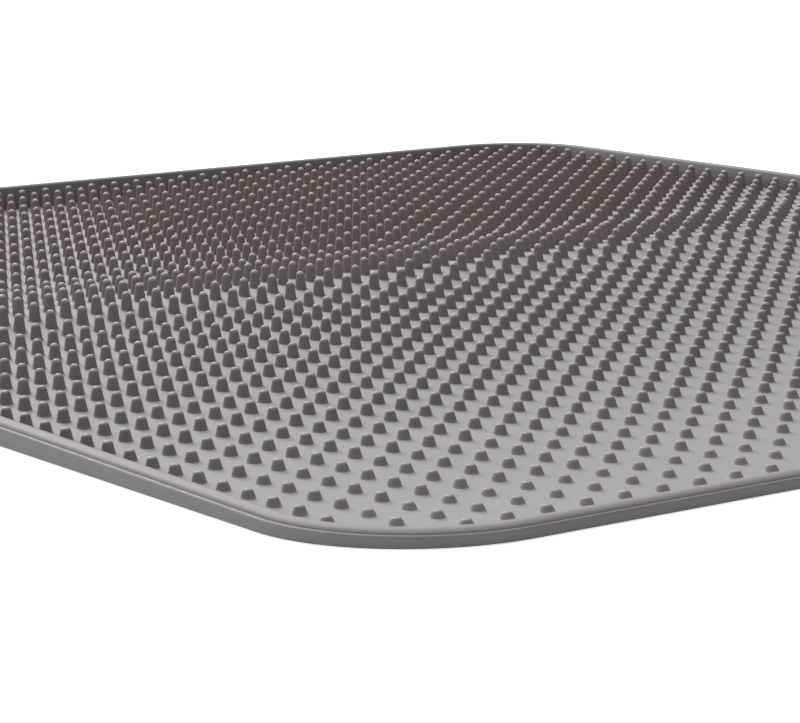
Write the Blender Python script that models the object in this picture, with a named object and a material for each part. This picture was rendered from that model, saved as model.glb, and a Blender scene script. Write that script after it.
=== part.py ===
"""Nubbed wedge mat: a moulded nub sheet bonded into an edge band, over a ridge core and a backing."""

import math

import bmesh
import bpy
from mathutils import Vector
from mathutils.geometry import delaunay_2d_cdt

# Nub grid, in metres: rows run along Y from the low end, columns along X
PITCH = 0.010
ROWS = 55
COLUMNS = 45

# Plan outline
EDGE_MARGIN = 0.01125
CORNER_RADIUS = 0.040
CORNER_STEPS = 8

# Layers, from the ground up, and the glue line that parts them
BACKING_THICK = 0.0005
GLUE_GAP = 0.0001
SHEET_THICK = 0.0012

# Edge band: an outer wall whose top ledge climbs from the low end to the tall end, on a flat foot
LEDGE_WIDTH = 0.0013
LEDGE_LOW = 0.0025
LEDGE_CLIMB = 0.0072
FOOT_WIDTH = 0.0060
BOTTOM_EASE = 0.0003

# Bead: the raised margin of the nub sheet, just inside the ledge
GROOVE_WIDTH = 0.0003
GROOVE_DEPTH = 0.0002
BEAD_WIDTH = 0.0044
BEAD_RISE = 0.0009
BEAD_DRAFT = 0.0007
BEAD_SHOULDER_WIDTH = 0.0008
BEAD_SHOULDER_RISE = 0.0006

# Ridge across the mat, and the core strip that lifts the sheet there
RIDGE_ROW = 29
RIDGE_HALF_ROWS = 4.3
RIDGE_HEIGHT = 0.0026
CORE_SHARE = 0.55
CORE_END_GAP = 0.006

# Nubs: drafted studs in bands of rows, each band one step taller than the last
NUB_BASE_RADIUS = 0.0020
NUB_TIP_RADIUS = 0.0013
NUB_LOW = 0.00146
NUB_STEP = 0.000484
NUB_BAND_ROWS = 4
NUB_CREST_RISE = 0.0006
NUB_CLEARANCE = 0.0002
NUB_SIDES = 4

# Only some of the nubs stand in the solid: every second row and every second column
ROW_SKIP = 2
COLUMN_SKIP = 2

# Values that follow from the ones above
WIDTH = (COLUMNS - 1) * PITCH + 2 * EDGE_MARGIN
LENGTH = (ROWS - 1) * PITCH + 2 * EDGE_MARGIN
SHEET_UNDER = BACKING_THICK + GLUE_GAP
FLOOR = SHEET_UNDER + SHEET_THICK
BEAD_INSET = LEDGE_WIDTH + GROOVE_WIDTH
RIM_WIDTH = BEAD_INSET + BEAD_WIDTH + BEAD_DRAFT

for old in list(bpy.data.objects):
    bpy.data.objects.remove(old, do_unlink=True)


# Heights that change along the mat
def row_y(row):
    """Where a row of nubs lies along the mat."""
    return (row - (ROWS - 1) / 2) * PITCH


def ledge(y):
    """Height of the ledge on top of the edge band."""
    return LEDGE_LOW + LEDGE_CLIMB * (y / LENGTH + 0.5)


def ridge_share(y):
    """How far up the ridge this line of the floor is, from 0 beside it to 1 on the crest."""
    rows_away = min(abs(y - row_y(RIDGE_ROW)) / (RIDGE_HALF_ROWS * PITCH), 1)
    return math.cos(rows_away * math.pi / 2) ** 2


def between_rows():
    """Lines midway between the rows of nubs that stand in the solid, where the floor may bend."""
    return [row_y(row + ROW_SKIP / 2) for row in range(0, ROWS - ROW_SKIP, ROW_SKIP)]


def lift(y):
    """Height of the ridge above the floor, straight between two such lines."""
    span = ROW_SKIP * PITCH
    first = between_rows()[0]
    low = first + math.floor((y - first) / span) * span
    share = (y - low) / span
    return RIDGE_HEIGHT * ((1 - share) * ridge_share(low) + share * ridge_share(low + span))


# Bends of the floor: one line past each side of the ridge, so that it runs out to the flat
BENDS = [
    y
    for y in between_rows()
    if any(ridge_share(y + side * ROW_SKIP * PITCH) > 1e-6 for side in (-1, 0, 1))
]


# Plan outline
def outline(inset):
    """The rounded outline moved in by inset, anticlockwise from the low end's right corner."""
    half_x = WIDTH / 2 - inset
    half_y = LENGTH / 2 - inset
    radius = CORNER_RADIUS - inset
    points = []
    for quarter, (side_x, side_y) in enumerate(((1, -1), (1, 1), (-1, 1), (-1, -1))):
        for step in range(CORNER_STEPS + 1):
            turn = math.pi / 2 * (quarter - 1 + step / CORNER_STEPS)
            points.append(
                (
                    side_x * (half_x - radius) + radius * math.cos(turn),
                    side_y * (half_y - radius) + radius * math.sin(turn),
                )
            )
        if quarter == 0:
            points += [(half_x, y) for y in BENDS]
        if quarter == 2:
            points += [(-half_x, y) for y in reversed(BENDS)]
    return points


def ring(inset, height):
    """The outline at one inset, as points whose height is a function of how far along they are."""
    return [Vector((x, y, height(y))) for x, y in outline(inset)]


def add_rings(mesh, rings):
    """Adds rings of vertices with walls between each ring and the next, and returns the vertices."""
    made = [[mesh.verts.new(point) for point in points] for points in rings]
    for lower, upper in zip(made, made[1:]):
        add_wall(mesh, lower, upper)
    return made


def add_wall(mesh, lower, upper):
    """Closes the strip between two rings of the same count."""
    count = len(lower)
    for k in range(count):
        after = (k + 1) % count
        mesh.faces.new((lower[k], lower[after], upper[after], upper[k]))


def finish(mesh, name, colour, roughness):
    """Turns the mesh into a named object with its own material."""
    bmesh.ops.recalc_face_normals(mesh, faces=mesh.faces)
    data = bpy.data.meshes.new(name)
    mesh.to_mesh(data)
    mesh.free()
    made = bpy.data.objects.new(name, data)
    bpy.context.scene.collection.objects.link(made)
    material = bpy.data.materials.new(name + "_rubber")
    material.use_nodes = True
    shader = material.node_tree.nodes["Principled BSDF"]
    shader.inputs["Base Color"].default_value = (*colour, 1)
    shader.inputs["Roughness"].default_value = roughness
    data.materials.append(material)
    return made


# Edge band: one closed ring of an L section, wall outside and foot inside
def make_edge_band():
    mesh = bmesh.new()
    made = add_rings(
        mesh,
        [
            ring(BOTTOM_EASE, lambda y: 0),
            ring(0, lambda y: BOTTOM_EASE),
            ring(0, ledge),
            ring(LEDGE_WIDTH, ledge),
            ring(LEDGE_WIDTH, lambda y: BACKING_THICK),
            ring(FOOT_WIDTH, lambda y: BACKING_THICK),
            ring(FOOT_WIDTH, lambda y: 0),
        ],
    )
    add_wall(mesh, made[-1], made[0])
    return finish(mesh, "edge_band", (0.32, 0.31, 0.30), 0.6)


# Backing: a plain sheet that fills the band's foot, level with the ground
def make_backing():
    mesh = bmesh.new()
    inset = FOOT_WIDTH + GLUE_GAP
    bottom, top = add_rings(
        mesh,
        [ring(inset, lambda y: 0), ring(inset, lambda y: BACKING_THICK)],
    )
    mesh.faces.new(bottom)
    mesh.faces.new(top)
    return finish(mesh, "backing_sheet", (0.10, 0.10, 0.10), 0.8)


# Ridge core: a strip with a domed top, and the pocket of the same shape that takes it
def make_core(name, grow):
    mesh = bmesh.new()
    half_x = WIDTH / 2 - RIM_WIDTH - CORE_END_GAP + grow
    middle = row_y(RIDGE_ROW)
    reach = CORE_SHARE * RIDGE_HALF_ROWS * PITCH + grow
    lines = [middle - reach]
    lines += [y for y in BENDS if abs(y - middle) < reach - PITCH / 2]
    lines += [middle + reach]
    under = SHEET_UNDER - 2 * grow
    section = [(lines[0], under)]
    section += [(y, SHEET_UNDER + lift(y) - GLUE_GAP + grow) for y in lines]
    section += [(lines[-1], under)]
    ends = [
        [mesh.verts.new((side * half_x, y, z)) for y, z in section] for side in (-1, 1)
    ]
    add_wall(mesh, *ends)
    for end in ends:
        mesh.faces.new(end)
    return finish(mesh, name, (0.04, 0.04, 0.04), 0.7)


# Nubs that stand in the solid
def nub_height(row):
    """Bands of rows rise by one step each, and the nubs on the ridge stand a little higher still."""
    band = (row + 1) // NUB_BAND_ROWS
    return NUB_LOW + NUB_STEP * band + NUB_CREST_RISE * ridge_share(row_y(row))


def clears_corner(x, y):
    """False for a nub that would run into the rounded corner of the bead."""
    past_x = abs(x) - (WIDTH / 2 - CORNER_RADIUS)
    past_y = abs(y) - (LENGTH / 2 - CORNER_RADIUS)
    room = CORNER_RADIUS - RIM_WIDTH - NUB_BASE_RADIUS - NUB_CLEARANCE
    return min(past_x, past_y) <= 0 or math.hypot(past_x, past_y) <= room


def nub_places():
    """Centre and height of each nub that stands in the solid."""
    places = []
    for row in range(0, ROWS, ROW_SKIP):
        for column in range(0, COLUMNS, COLUMN_SKIP):
            x = (column - (COLUMNS - 1) / 2) * PITCH
            if clears_corner(x, row_y(row)):
                places.append((x, row_y(row), nub_height(row)))
    return places


def nub_square(x, y, radius):
    """Corners of one nub at one height, anticlockwise."""
    turns = [2 * math.pi * (k + 0.5) / NUB_SIDES for k in range(NUB_SIDES)]
    return [(x + radius * math.cos(turn), y + radius * math.sin(turn)) for turn in turns]


# Nub sheet: bead, floor with the ridge, and the nubs, all in one moulding
def make_nub_sheet():
    mesh = bmesh.new()
    inner_edge = BEAD_INSET + BEAD_WIDTH
    made = add_rings(
        mesh,
        [
            ring(BEAD_INSET, lambda y: SHEET_UNDER),
            ring(BEAD_INSET, lambda y: ledge(y) - GROOVE_DEPTH),
            ring(BEAD_INSET + BEAD_SHOULDER_WIDTH, lambda y: ledge(y) + BEAD_SHOULDER_RISE),
            ring(BEAD_INSET + BEAD_WIDTH / 2, lambda y: ledge(y) + BEAD_RISE),
            ring(inner_edge - BEAD_SHOULDER_WIDTH, lambda y: ledge(y) + BEAD_SHOULDER_RISE),
            ring(inner_edge, lambda y: ledge(y) - GROOVE_DEPTH),
            ring(RIM_WIDTH, lambda y: FLOOR + lift(y)),
        ],
    )
    mesh.faces.new(made[0])

    # Outer loop of the floor, the lines where it bends, and one loop for each nub
    corners = [vert.co.xy for vert in made[-1]]
    known = list(made[-1])
    edges = [(k, (k + 1) % len(corners)) for k in range(len(corners))]
    for k, y in enumerate(BENDS):
        right = CORNER_STEPS + 1 + k
        left = 3 * (CORNER_STEPS + 1) + 2 * len(BENDS) - 1 - k
        edges.append((right, left))
    nub_of = {}
    for x, y, height in nub_places():
        first = len(corners)
        loop = nub_square(x, y, NUB_BASE_RADIUS)
        base = [mesh.verts.new((px, py, FLOOR + lift(py))) for px, py in loop]
        edges += [(first + k, first + (k + 1) % NUB_SIDES) for k in range(NUB_SIDES)]
        nub_of.update({first + k: first for k in range(NUB_SIDES)})
        corners += [vert.co.xy for vert in base]
        known += base
        tip = FLOOR + lift(y) + height
        top = [mesh.verts.new((px, py, tip)) for px, py in nub_square(x, y, NUB_TIP_RADIUS)]
        add_wall(mesh, base, top)
        mesh.faces.new(top)

    # Triangles between the loops, leaving out the ones inside a nub
    found = delaunay_2d_cdt(corners, edges, [], 1, 1e-7)
    source = [known[origins[0]] for origins in found[3]]
    index = [origins[0] for origins in found[3]]
    for triangle in found[2]:
        owners = {nub_of.get(index[k], -1 - k) for k in triangle}
        if len(owners) > 1:
            mesh.faces.new([source[k] for k in triangle])
    return finish(mesh, "nub_sheet", (0.38, 0.37, 0.35), 0.55)


make_edge_band()
make_backing()
make_core("ridge_core", 0)
sheet = make_nub_sheet()

# Pocket under the ridge
pocket = make_core("ridge_pocket", GLUE_GAP)
pocket.hide_render = True
pocket.display_type = "WIRE"
cut = sheet.modifiers.new("ridge pocket", "BOOLEAN")
cut.operation = "DIFFERENCE"
cut.solver = "EXACT"
cut.object = pocket
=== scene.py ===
"""Looks of the nubbed wedge mat: its rubber pieces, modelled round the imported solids."""

import math

import bpy
from mathutils import Matrix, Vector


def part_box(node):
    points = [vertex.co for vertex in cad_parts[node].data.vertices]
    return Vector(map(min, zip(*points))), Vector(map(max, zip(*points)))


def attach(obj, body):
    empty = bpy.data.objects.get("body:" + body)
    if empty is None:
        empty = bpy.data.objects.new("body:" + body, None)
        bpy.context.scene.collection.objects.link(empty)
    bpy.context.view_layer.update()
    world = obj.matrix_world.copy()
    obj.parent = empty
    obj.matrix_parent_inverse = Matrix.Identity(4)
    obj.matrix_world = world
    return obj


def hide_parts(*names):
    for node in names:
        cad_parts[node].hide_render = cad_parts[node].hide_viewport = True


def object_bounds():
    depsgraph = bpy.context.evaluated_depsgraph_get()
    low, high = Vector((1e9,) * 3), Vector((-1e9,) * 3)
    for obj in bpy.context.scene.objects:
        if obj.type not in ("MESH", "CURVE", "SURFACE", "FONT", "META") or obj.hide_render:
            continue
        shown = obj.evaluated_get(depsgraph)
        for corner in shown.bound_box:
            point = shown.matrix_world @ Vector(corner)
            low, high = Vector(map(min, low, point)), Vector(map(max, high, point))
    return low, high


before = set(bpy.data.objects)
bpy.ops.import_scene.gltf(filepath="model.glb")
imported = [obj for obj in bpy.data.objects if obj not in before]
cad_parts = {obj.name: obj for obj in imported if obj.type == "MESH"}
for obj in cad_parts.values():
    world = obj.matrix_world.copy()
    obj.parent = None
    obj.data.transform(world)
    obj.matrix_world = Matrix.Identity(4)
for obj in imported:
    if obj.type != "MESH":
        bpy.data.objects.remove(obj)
cad_low, cad_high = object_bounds()

# Backing sheet: the grip layer under the mat, a plain calendered rubber sheet with a fine pebbled
# face. It is cut to the outline inside the edge band's foot and glued to the nub sheet above it.
width = cad_high.x - cad_low.x
length = cad_high.y - cad_low.y
corner_radius = 0.040
corner_steps = 24
glue_gap = 0.0001
foot_width = 0.0060
backing_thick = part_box("backing_sheet")[1].z


def rounded_plate(name, inset, z):
    """Adds a flat plate with the mat's rounded outline moved in by inset, and leaves it open in edit
    mode with its face selected."""
    bpy.ops.object.select_all(action="DESELECT")
    bpy.ops.mesh.primitive_plane_add(size=1)
    plate = bpy.context.object
    plate.name = name
    plate.data.name = name
    bpy.ops.object.mode_set(mode="EDIT")
    bpy.ops.mesh.select_all(action="SELECT")
    bpy.ops.transform.resize(value=(width - 2 * inset, length - 2 * inset, 1))
    bpy.ops.transform.translate(value=(0, 0, z))
    bpy.ops.mesh.bevel(offset=corner_radius - inset, segments=corner_steps, affect="VERTICES")
    bpy.ops.mesh.select_all(action="SELECT")
    return plate


def extrude(rise):
    """Extrudes the selected faces straight up, or down where the rise is negative."""
    bpy.ops.mesh.extrude_region_move(TRANSFORM_OT_translate={"value": (0, 0, rise)})


def select_only(piece):
    """Selects one piece and makes it the active one."""
    bpy.ops.object.select_all(action="DESELECT")
    piece.select_set(True)
    bpy.context.view_layer.objects.active = piece


def close_up(piece, smooth_angle):
    """Leaves edit mode with every face pointing outwards and only true edges left sharp."""
    bpy.ops.mesh.select_all(action="SELECT")
    bpy.ops.mesh.normals_make_consistent(inside=False)
    bpy.ops.object.mode_set(mode="OBJECT")
    select_only(piece)
    bpy.ops.object.shade_smooth_by_angle(angle=math.radians(smooth_angle))


def linear(hex_colour):
    """Linear red, green, blue and alpha from an sRGB hex value."""
    channels = [int(hex_colour[k:k + 2], 16) / 255 for k in (1, 3, 5)]
    return (*[c / 12.92 if c <= 0.04045 else ((c + 0.055) / 1.055) ** 2.4 for c in channels], 1)


def add_node(tree, kind, settings, links):
    """Adds a node, sets its properties and sockets, and links sockets to other nodes' outputs."""
    node = tree.nodes.new(kind)
    for name, value in settings.items():
        if name in node.inputs:
            node.inputs[name].default_value = value
        else:
            setattr(node, name, value)
    for name, (source, output) in links.items():
        tree.links.new(source.outputs[output], node.inputs[name])
    return node


def colour_ramp(tree, source, output, stops):
    """A colour ramp over another node's output, from stops of position and sRGB hex value."""
    node = add_node(tree, "ShaderNodeValToRGB", {}, {"Fac": (source, output)})
    elements = node.color_ramp.elements
    for element, (position, colour) in zip(elements, (stops[0], stops[-1])):
        element.position = position
        element.color = linear(colour)
    for position, colour in stops[1:-1]:
        elements.new(position).color = linear(colour)
    return node


def new_material(name):
    """An empty material, with its tree, its shader and the object's own coordinates."""
    material = bpy.data.materials.new(name)
    material.use_nodes = True
    tree = material.node_tree
    return material, tree, tree.nodes["Principled BSDF"], tree.nodes.new("ShaderNodeTexCoord")


# Calendered grip rubber: dark grey, matt, with pebbles about 0.8 mm across that scatter the light
pebble = 0.0008
pebble_depth = 0.0002
grip_rubber, tree, shader, place = new_material("calendered grip rubber")
pebbles = add_node(tree, "ShaderNodeTexVoronoi", {"Scale": 1 / pebble}, {"Vector": (place, "Object")})
grip_shade = colour_ramp(tree, pebbles, "Distance", ((0, "#5d5b58"), (1, "#4a4846")))
tree.links.new(grip_shade.outputs["Color"], shader.inputs["Base Color"])
grip_bump = add_node(
    tree, "ShaderNodeBump", {"Strength": 0.5, "Distance": pebble_depth, "invert": True},
    {"Height": (pebbles, "Distance")},
)
tree.links.new(grip_bump.outputs["Normal"], shader.inputs["Normal"])
shader.inputs["Roughness"].default_value = 0.85

backing = rounded_plate("grip_backing", foot_width + glue_gap, 0)
extrude(backing_thick)
close_up(backing, smooth_angle=30)
backing.data.materials.append(grip_rubber)
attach(backing, "root")
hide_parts("backing_sheet")

# Edge band: the outer wall of the mat, a moulded rubber strip of L section whose top is a narrow
# ledge. It climbs from the low end to the tall end, and its foot runs in under the nub sheet.
ledge_width = 0.0013
ledge_low = 0.0025
ledge_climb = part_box("edge_band")[1].z - ledge_low
ledge_round = 0.0006
ledge_round_steps = 4
bottom_ease = 0.0002
bottom_ease_steps = 2


def step_in(inset, rise):
    """Insets the selected face, then lifts what is left of it."""
    bpy.ops.mesh.inset(thickness=inset, use_even_offset=True)
    bpy.ops.transform.translate(value=(0, 0, rise))


def ledge(y):
    """Height of the ledge on top of the band at this distance along the mat."""
    return ledge_low + ledge_climb * (y / length + 0.5)


def inside_outline(x, y):
    """How far a point lies inside the mat's rounded outline."""
    past_x = abs(x) - (width / 2 - corner_radius)
    past_y = abs(y) - (length / 2 - corner_radius)
    if min(past_x, past_y) <= 0:
        return corner_radius - max(past_x, past_y)
    return corner_radius - math.hypot(past_x, past_y)


def select_faces(piece, wanted):
    """Selects, in edit mode, only the faces whose centre and normal pass the test."""
    bpy.ops.mesh.select_mode(type="FACE")
    bpy.ops.mesh.select_all(action="DESELECT")
    bpy.ops.object.mode_set(mode="OBJECT")
    for face in piece.data.polygons:
        face.select = wanted(face.center, face.normal)
    bpy.ops.object.mode_set(mode="EDIT")


def apply_modifiers(piece):
    """Applies every modifier of the piece, in order."""
    select_only(piece)
    for modifier in list(piece.modifiers):
        bpy.ops.object.modifier_apply(modifier=modifier.name)


band = rounded_plate("edge_band_moulding", 0, 0)
step_in(ledge_width, 0)
step_in(foot_width - ledge_width, 0)
bpy.ops.mesh.delete(type="FACE")
bpy.ops.mesh.select_all(action="SELECT")
extrude(backing_thick)
bpy.ops.mesh.select_all(action="SELECT")
bpy.ops.mesh.normals_make_consistent(inside=False)
select_faces(
    band,
    lambda middle, normal: normal.z > 0.5 and inside_outline(middle.x, middle.y) < ledge_width,
)
extrude(ledge_low - backing_thick)
bpy.ops.mesh.region_to_loop()
bpy.ops.mesh.bevel(offset=ledge_round, segments=ledge_round_steps, affect="EDGES")
bpy.ops.object.mode_set(mode="OBJECT")
for vertex in band.data.vertices:
    if vertex.co.z > (backing_thick + ledge_low) / 2:
        vertex.co.z += ledge(vertex.co.y) - ledge_low
easing = band.modifiers.new("eased lower edges", "BEVEL")
easing.width = bottom_ease
easing.segments = bottom_ease_steps
easing.angle_limit = math.radians(60)
apply_modifiers(band)
bpy.ops.object.mode_set(mode="EDIT")
close_up(band, smooth_angle=50)
band_rubbed = band.data.attributes.new("rubbed_and_highlit", "FLOAT", "POINT")
for vertex in band.data.vertices:
    below_top = (ledge(vertex.co.y) - vertex.co.z) / ledge_round
    band_rubbed.data[vertex.index].value = max(0, 1 - below_top)

# Moulded edge rubber: mid grey with a satin skin and fine mould grain. The top of the ledge is
# rubbed paler in broken scuffs a few millimetres long, most of all near the low left corner.
grain = 0.0004
grain_depth = 0.0001
cloud = 0.030
scuff = 0.0015
scuffed_y = -0.21
scuffed_place = (-width / 2, scuffed_y, ledge(scuffed_y))
scuffed_reach = 0.06


def noise(tree, place, size, detail):
    """Noise whose blotches are about this size, in metres."""
    return add_node(
        tree, "ShaderNodeTexNoise", {"Scale": 1 / size, "Detail": detail}, {"Vector": (place, "Object")}
    )


def mould_grain(tree, shader, place, strength):
    """Gives a rubber the fine grain that the mould leaves on it."""
    grains = noise(tree, place, grain, 2.0)
    bump = add_node(
        tree, "ShaderNodeBump", {"Strength": strength, "Distance": grain_depth},
        {"Height": (grains, "Fac")},
    )
    tree.links.new(bump.outputs["Normal"], shader.inputs["Normal"])


def uneven_sheen(tree, shader, clouds, smoothest, roughest):
    """Gives a rubber a roughness that follows its cloudiness."""
    sheen = add_node(
        tree, "ShaderNodeMapRange", {"To Min": smoothest, "To Max": roughest},
        {"Value": (clouds, "Fac")},
    )
    tree.links.new(sheen.outputs["Result"], shader.inputs["Roughness"])


edge_rubber, tree, shader, place = new_material("moulded edge rubber")
edge_cloud = noise(tree, place, cloud, 3.0)
edge_shade = colour_ramp(tree, edge_cloud, "Fac", ((0.35, "#8d8b8a"), (0.65, "#959392")))
edge_scuffs = noise(tree, place, scuff, 4.0)
edge_broken = colour_ramp(tree, edge_scuffs, "Fac", ((0.52, "#8c8c8c"), (0.66, "#ffffff")))
edge_near = add_node(
    tree, "ShaderNodeMapping",
    {"Location": [-c / scuffed_reach for c in scuffed_place], "Scale": [1 / scuffed_reach] * 3},
    {"Vector": (place, "Object")},
)
edge_patch = add_node(
    tree, "ShaderNodeTexGradient", {"gradient_type": "SPHERICAL"}, {"Vector": (edge_near, "Vector")}
)
edge_share = add_node(
    tree, "ShaderNodeMapRange", {"From Max": 0.4, "To Min": 0.15, "To Max": 0.5},
    {"Value": (edge_patch, "Fac")},
)
edge_top = add_node(tree, "ShaderNodeAttribute", {"attribute_name": "rubbed_and_highlit"}, {})
edge_rubbed = add_node(
    tree, "ShaderNodeMath", {"operation": "MULTIPLY"},
    {0: (edge_share, "Result"), 1: (edge_top, "Fac")},
)
edge_wear = add_node(
    tree, "ShaderNodeMath", {"operation": "MULTIPLY"},
    {0: (edge_broken, "Color"), 1: (edge_rubbed, "Value")},
)
edge_tone = add_node(
    tree, "ShaderNodeMixRGB", {"Color2": linear("#d2cfca")},
    {"Fac": (edge_wear, "Value"), "Color1": (edge_shade, "Color")},
)
tree.links.new(edge_tone.outputs["Color"], shader.inputs["Base Color"])
uneven_sheen(tree, shader, edge_cloud, 0.5, 0.75)
mould_grain(tree, shader, place, 0.25)
band.data.materials.append(edge_rubber)
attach(band, "root")
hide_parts("edge_band")

# Ridge core: a strip of dense rubber across the mat, under the nub sheet. It is cut to a low dome
# and lifts the floor of the sheet into the ridge.
pitch = 0.010
rows = 55
ridge_row = 29
ridge_half_rows = 4.3
ridge_height = 0.0026
ridge_steps = 24
sheet_under = backing_thick + glue_gap


def row_y(row):
    """Where a row of nubs lies along the mat."""
    return (row - (rows - 1) / 2) * pitch


def ridge_share(y):
    """How far up the ridge this line of the floor is, from 0 beside it to 1 on the crest."""
    rows_away = min(abs(y - row_y(ridge_row)) / (ridge_half_rows * pitch), 1)
    return math.cos(rows_away * math.pi / 2) ** 2


def cut_across(reach):
    """Cuts all that is open in edit mode across the ridge, in even steps, so that it can bend there."""
    for k in range(ridge_steps + 1):
        y = row_y(ridge_row) + (2 * k / ridge_steps - 1) * reach
        bpy.ops.mesh.select_all(action="SELECT")
        bpy.ops.mesh.bisect(plane_co=(0, y, 0), plane_no=(0, 1, 0))


core_low, core_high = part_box("ridge_core")
bpy.ops.object.select_all(action="DESELECT")
bpy.ops.mesh.primitive_cube_add(size=1)
core = bpy.context.object
core.name = "ridge_core_strip"
core.data.name = "ridge_core_strip"
bpy.ops.object.mode_set(mode="EDIT")
bpy.ops.transform.resize(value=(core_high.x - core_low.x, core_high.y - core_low.y, pitch))
bpy.ops.transform.translate(value=(0, row_y(ridge_row), 0))
cut_across((core_high.y - core_low.y) / 2)
bpy.ops.object.mode_set(mode="OBJECT")
for vertex in core.data.vertices:
    roof = sheet_under + ridge_height * ridge_share(vertex.co.y) - glue_gap
    vertex.co.z = roof if vertex.co.z > 0 else sheet_under
bpy.ops.object.mode_set(mode="EDIT")
close_up(core, smooth_angle=30)

# Cut core rubber: black, dull, with the short drag marks of the knife
drag_marks_per_metre = (40, 1500, 1500)
core_rubber, tree, shader, place = new_material("cut core rubber")
drag = add_node(
    tree, "ShaderNodeMapping", {"Scale": drag_marks_per_metre}, {"Vector": (place, "Object")}
)
drag_marks = add_node(
    tree, "ShaderNodeTexNoise", {"Scale": 1.0, "Detail": 2.0}, {"Vector": (drag, "Vector")}
)
core_shade = colour_ramp(tree, drag_marks, "Fac", ((0, "#2b2a29"), (1, "#3d3b39")))
tree.links.new(core_shade.outputs["Color"], shader.inputs["Base Color"])
shader.inputs["Roughness"].default_value = 0.8
core.data.materials.append(core_rubber)
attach(core, "root")
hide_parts("ridge_core")

# Floor of the nub sheet: a thin moulded rubber sheet with a rounded bead standing up all round its
# margin, just inside the ledge, and a ridge across the middle where it lies over the core.
sheet_thick = 0.0012
floor_top = sheet_under + sheet_thick
groove_width = 0.0003
groove_depth = 0.0003
bead_inset = ledge_width + groove_width
bead_width = 0.0044
bead_rise = 0.0009
bead_steps = 8
wall_draft = 0.0007
foot_fillet = 0.0006
foot_fillet_steps = ((0.3, 0.7), (0.7, 0.3), (1, 0))
rim_width = bead_inset + bead_width + wall_draft

sheet = rounded_plate("nub_sheet_floor", bead_inset, sheet_under)
extrude(ledge_low - groove_depth - sheet_under)
for k in range(1, bead_steps + 1):
    before = math.pi * (k - 1) / bead_steps
    after = math.pi * k / bead_steps
    step_in(
        bead_width / 2 * (math.cos(before) - math.cos(after)),
        (bead_rise + groove_depth) * (math.sin(after) - math.sin(before)),
    )
step_in(wall_draft, floor_top + foot_fillet - (ledge_low - groove_depth))
for inward, down in foot_fillet_steps:
    step_in(foot_fillet * inward, -foot_fillet * down)
select_faces(sheet, lambda middle, normal: abs(middle.z - sheet_under) < glue_gap / 10)
step_in(rim_width, 0)
cut_across(ridge_half_rows * pitch)
bpy.ops.object.mode_set(mode="OBJECT")
for vertex in sheet.data.vertices:
    x, y, z = vertex.co
    under = z < sheet_under + glue_gap
    on_rim = z > floor_top + foot_fillet * 1.01
    if on_rim:
        vertex.co.z += ledge(y) - ledge_low
    elif not under or inside_outline(x, y) > rim_width:
        vertex.co.z += ridge_height * ridge_share(y)
bpy.ops.object.mode_set(mode="EDIT")
close_up(sheet, smooth_angle=60)
# inner_wall marks the wall inside the bead for painted shade, and shoulder marks the bead's outer
# shoulder for painted light
inner_wall = sheet.data.attributes.new("inner_wall", "FLOAT", "POINT")
shoulder = sheet.data.attributes.new("shoulder", "FLOAT", "POINT")
for vertex in sheet.data.vertices:
    past_crest = (inside_outline(vertex.co.x, vertex.co.y) - bead_inset) / (bead_width / 2) - 1
    on_floor = past_crest * bead_width / 2 > bead_width / 2 + wall_draft + foot_fillet / 2
    inner_wall.data[vertex.index].value = 0 if on_floor else min(1, max(0, past_crest))
    shoulder.data[vertex.index].value = max(0, -past_crest)


def along_mat(tree, place):
    """How far along the mat a point lies, from 0 at the first row of nubs to 1 at the last."""
    parts = add_node(tree, "ShaderNodeSeparateXYZ", {}, {"Vector": (place, "Object")})
    return add_node(
        tree, "ShaderNodeMapRange", {"From Min": row_y(0), "From Max": row_y(rows - 1)},
        {"Value": (parts, "Y")},
    )


def mottled(tree, shade, mottle):
    """A shade made lighter and darker by a mottle that lies round 1."""
    return add_node(
        tree, "ShaderNodeVectorMath", {"operation": "SCALE"},
        {"Vector": (shade, "Color"), "Scale": (mottle, "Result")},
    )


# Moulded top rubber: warm light grey with a satin skin, fine mould grain and a faint cloudiness, with
# painted shade that makes it a little darker where the nubs grow taller. The wall inside the bead is
# painted darker as painted shade, and the bead's outer shoulder is painted paler and warmer as painted
# light.
top_rubber, tree, shader, place = new_material("moulded top rubber")
top_cloud = noise(tree, place, cloud, 4.0)
top_mottle = add_node(
    tree, "ShaderNodeMapRange", {"From Min": 0.35, "From Max": 0.65, "To Min": 0.97, "To Max": 1.03},
    {"Value": (top_cloud, "Fac")},
)
# Painted shade: the floor is made darker toward the middle rows, where the taller nubs stand, and
# lighter again by the ridge
top_painted_shade = colour_ramp(
    tree, along_mat(tree, place), "Result", ((0, "#abaaa5"), (0.37, "#a09f9a"), (0.5, "#a8a7a2"))
)
top_skin = mottled(tree, top_painted_shade, top_mottle)
# Painted shade: the wall inside the bead is mixed toward a dark grey
top_wall = add_node(tree, "ShaderNodeAttribute", {"attribute_name": "inner_wall"}, {})
top_wall_shaded = add_node(
    tree, "ShaderNodeMixRGB", {"Color2": linear("#7b7a74")},
    {"Fac": (top_wall, "Fac"), "Color1": (top_skin, "Vector")},
)
# Painted light: the bead's outer shoulder is mixed toward a paler, warmer grey
top_lit_shoulder = add_node(tree, "ShaderNodeAttribute", {"attribute_name": "shoulder"}, {})
top_tone = add_node(
    tree, "ShaderNodeMixRGB", {"Color2": linear("#b2aba6")},
    {"Fac": (top_lit_shoulder, "Fac"), "Color1": (top_wall_shaded, "Color")},
)
tree.links.new(top_tone.outputs["Color"], shader.inputs["Base Color"])
uneven_sheen(tree, shader, top_cloud, 0.65, 0.75)
mould_grain(tree, shader, place, 0.2)
sheet.data.materials.append(top_rubber)
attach(sheet, "root")
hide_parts("nub_sheet")

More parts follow.
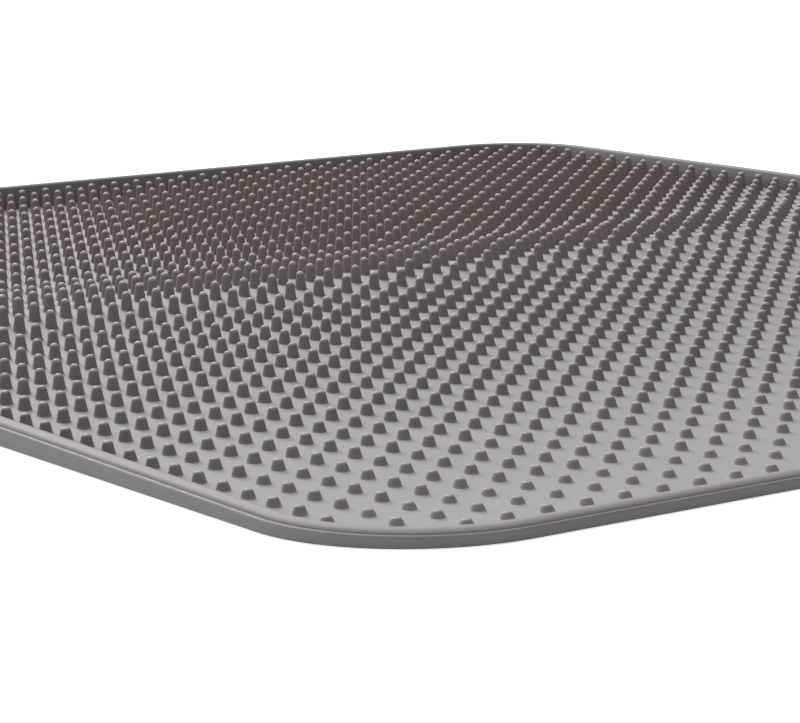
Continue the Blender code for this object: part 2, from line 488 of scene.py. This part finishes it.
# Nubs: round tapered studs moulded in one with the sheet, on a square grid. They stand in bands of
# four rows, each band a step taller than the one before, and those on the ridge stand higher still.
# Sizes in pairs are those of the lowest nub and of a tall one. Each ring of the crown has its share
# of the rounding and its width on either, and each ring of the foot its share and its width.
columns = 45
nub_sides = 10
nub_base = (0.00157, 0.0018)
nub_tip = (0.00117, 0.00131)
nub_round = (0.00035, 0.00105)
nub_pale = (0.15, 1.0)
nub_pale_curve = 0.7
nub_crown = ((0.62, 0.93, 0.81), (1, 0.7, 0.3))
nub_foot = ((0.6, 1.08), (1, 1.4))
nub_fillet = 0.0005
nub_sink = 0.0002
nub_tall = 0.0050
nub_low = 0.00146
nub_step = 0.000484
nub_band_rows = 4
nub_crest_rise = 0.0006
nub_corner_inset = 0.0055


def nub_band(row):
    """Number of the band that a row of nubs stands in."""
    return (row + 1) // nub_band_rows


def nub_height(row):
    """Height of the nubs of one row above the floor."""
    return nub_low + nub_step * nub_band(row) + nub_crest_rise * ridge_share(row_y(row))


def column_x(column):
    """Where a column of nubs lies across the mat."""
    return (column - (columns - 1) / 2) * pitch


def draw_out(rings, reach):
    """Extrudes the selected end face ring by ring, each to its share of the reach and its width."""
    last_share, last_wide = 0, 1
    for share, wide in rings:
        extrude(reach * (share - last_share))
        bpy.ops.transform.resize(value=(wide / last_wide, wide / last_wide, 1))
        last_share, last_wide = share, wide


def model_nub(name, height):
    """Models one nub on the floor at the origin: a flared foot, a drafted side, and a tip that is
    flat on the low nubs and domed on the tall ones."""
    grown = min(1, (height - nub_low) / (nub_tall - nub_low))
    base, tip, tip_round, pale = [
        low + grown * (tall - low) for low, tall in (nub_base, nub_tip, nub_round, nub_pale)
    ]
    side = height - tip_round - nub_fillet
    bpy.ops.object.select_all(action="DESELECT")
    bpy.ops.mesh.primitive_cone_add(
        vertices=nub_sides, radius1=base, radius2=tip, depth=side,
        location=(0, 0, nub_fillet + side / 2),
    )
    nub = bpy.context.object
    nub.name = name
    nub.data.name = name
    bpy.ops.object.transform_apply(location=True)
    bpy.ops.object.mode_set(mode="EDIT")
    select_faces(nub, lambda middle, normal: normal.z > 0.9)
    draw_out([(share, flat + grown * (domed - flat)) for share, flat, domed in nub_crown], tip_round)
    select_faces(nub, lambda middle, normal: normal.z < -0.9)
    draw_out(nub_foot, -nub_fillet - nub_sink)
    close_up(nub, smooth_angle=75)
    # Painted highlight: the tip is painted pale, more on the tall nubs than on the low ones
    rubbed_and_highlit = nub.data.attributes.new("rubbed_and_highlit", "FLOAT", "POINT")
    for vertex in nub.data.vertices:
        up_tip = max(0, (vertex.co.z - height) / tip_round + 1)
        rubbed_and_highlit.data[vertex.index].value = pale * up_tip ** nub_pale_curve
    return nub


def first_column(row):
    """The first column of a row whose nub clears the rounded corner, or only runs into its bead."""
    return next(
        column for column in range(columns)
        if inside_outline(column_x(column), row_y(row)) > nub_corner_inset
    )


def nub_row(row):
    """One row of nubs across the mat, each a copy of the first with its own mesh."""
    nub = model_nub(f"nub_row_{row:02d}", nub_height(row))
    first = first_column(row)
    spread = nub.modifiers.new("across the mat", "ARRAY")
    spread.use_relative_offset = False
    spread.use_constant_offset = True
    spread.constant_offset_displace = (pitch, 0, 0)
    spread.count = columns - 2 * first
    spread.use_merge_vertices = False
    apply_modifiers(nub)
    nub.location = (column_x(first), row_y(row), floor_top + ridge_height * ridge_share(row_y(row)))
    bpy.ops.object.transform_apply(location=True)
    return nub


# Moulded nub rubber: the same rubber as the floor, painted darker and browner as painted shade on the
# sides, lightest on the front rows and darker toward the back, and painted pale on the tip as a painted
# highlight
nub_rubber, tree, shader, place = new_material("moulded nub rubber")
# Painted shade: the nubs are darker than the floor, and darker again toward the back where they stand
# close together
nub_painted_shade = colour_ramp(
    tree, along_mat(tree, place), "Result",
    ((0, "#aaa39b"), (0.2, "#928981"), (0.54, "#938984"), (0.72, "#8c7e79")),
)
nub_cloud = noise(tree, place, pitch, 2.0)
nub_mottle = add_node(
    tree, "ShaderNodeMapRange", {"To Min": 0.92, "To Max": 1.08}, {"Value": (nub_cloud, "Fac")}
)
nub_skin = mottled(tree, nub_painted_shade, nub_mottle)
# Painted highlight: the tip is mixed toward a pale grey
nub_tip_highlight = add_node(tree, "ShaderNodeAttribute", {"attribute_name": "rubbed_and_highlit"}, {})
nub_tone = add_node(
    tree, "ShaderNodeMixRGB", {"Color2": linear("#d2cac4")},
    {"Fac": (nub_tip_highlight, "Fac"), "Color1": (nub_skin, "Vector")},
)
tree.links.new(nub_tone.outputs["Color"], shader.inputs["Base Color"])
uneven_sheen(tree, shader, nub_cloud, 0.48, 0.66)
mould_grain(tree, shader, place, 0.2)

rows_of_band = {}
for row in range(rows):
    rows_of_band.setdefault(nub_band(row), []).append(nub_row(row))
for number, row_pieces in rows_of_band.items():
    nubs = row_pieces[0]
    select_only(nubs)
    for piece in row_pieces:
        piece.select_set(True)
    bpy.ops.object.join()
    nubs.name = f"nub_band_{number:02d}"
    nubs.data.name = nubs.name
    nubs.data.materials.append(nub_rubber)
    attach(nubs, "root")
    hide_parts("nub_sheet")

# Studio: a pale floor that carries the mat's shadow, one soft lamp above the tall end and a broad
# one low behind it, a little light on the left edge and a weak even sky. The floor glows a little
# where it is seen or mirrored, so that it reads as white, and lights nothing.
floor_size = 12
floor_drop = 0.0001
sky_strength = 0.28
bpy.ops.object.select_all(action="DESELECT")
bpy.ops.mesh.primitive_plane_add(size=floor_size, location=(0, 0, -floor_drop))
studio_floor = bpy.context.object
studio_floor.name = "studio_floor"
floor_paint, tree, shader, place = new_material("white studio floor")
shader.inputs["Base Color"].default_value = linear("#f0f0f0")
shader.inputs["Roughness"].default_value = 0.9
ray = add_node(tree, "ShaderNodeLightPath", {}, {})
mirrored = add_node(
    tree, "ShaderNodeMath", {"operation": "ADD"},
    {0: (ray, "Is Glossy Ray"), 1: (ray, "Is Transmission Ray")},
)
seen = add_node(
    tree, "ShaderNodeMath", {"operation": "ADD", "use_clamp": True},
    {0: (ray, "Is Camera Ray"), 1: (mirrored, "Value")},
)
tree.links.new(seen.outputs["Value"], shader.inputs["Emission Strength"])
shader.inputs["Emission Color"].default_value = linear("#dadada")
studio_floor.data.materials.append(floor_paint)

world = bpy.data.worlds.new("studio sky")
bpy.context.scene.world = world
world.use_nodes = True
sky = world.node_tree.nodes["Background"]
sky.inputs["Color"].default_value = linear("#ffffff")
sky.inputs["Strength"].default_value = sky_strength


def soft_lamp(name, stand, wide, tall, watts):
    """An area lamp that stands at a place and faces the middle of the mat."""
    data = bpy.data.lights.new(name, "AREA")
    data.shape = "RECTANGLE"
    data.size = wide
    data.size_y = tall
    data.energy = watts
    lamp = bpy.data.objects.new(name, data)
    bpy.context.scene.collection.objects.link(lamp)
    lamp.location = stand
    x, y, z = stand
    lamp.rotation_euler = (math.atan2(math.hypot(x, y), z), 0, math.atan2(-y, -x) - math.pi / 2)


soft_lamp("key_above_tall_end", stand=(0.1, 2.0, 4.3), wide=1.4, tall=2.4, watts=108)
soft_lamp("broad_low_behind_tall_end", stand=(0.4, 3.9, 2.2), wide=2.6, tall=1.8, watts=116)
soft_lamp("low_fill_left", stand=(-2.0, 0.4, 0.15), wide=1.4, tall=0.25, watts=3)

# Camera: a long lens a little above the low corner, level with the photograph's own view
photo_width = 800
focal_pixels = 2919
camera_place = (-0.5274, -0.7284, 0.1332)
camera_heading = -34.27
camera_pitch = 80.12
camera_roll = -1.29
camera_data = bpy.data.cameras.new("view")
camera_data.sensor_width = 36
camera_data.lens = focal_pixels / photo_width * camera_data.sensor_width
camera = bpy.data.objects.new("view", camera_data)
bpy.context.scene.collection.objects.link(camera)
camera.location = camera_place
camera.rotation_mode = "XYZ"
camera.rotation_euler = (
    Matrix.Rotation(math.radians(camera_heading), 3, "Z")
    @ Matrix.Rotation(math.radians(camera_pitch), 3, "X")
    @ Matrix.Rotation(math.radians(camera_roll), 3, "Z")
).to_euler()
bpy.context.scene.camera = camera

bpy.context.scene.view_settings.view_transform = "Standard"
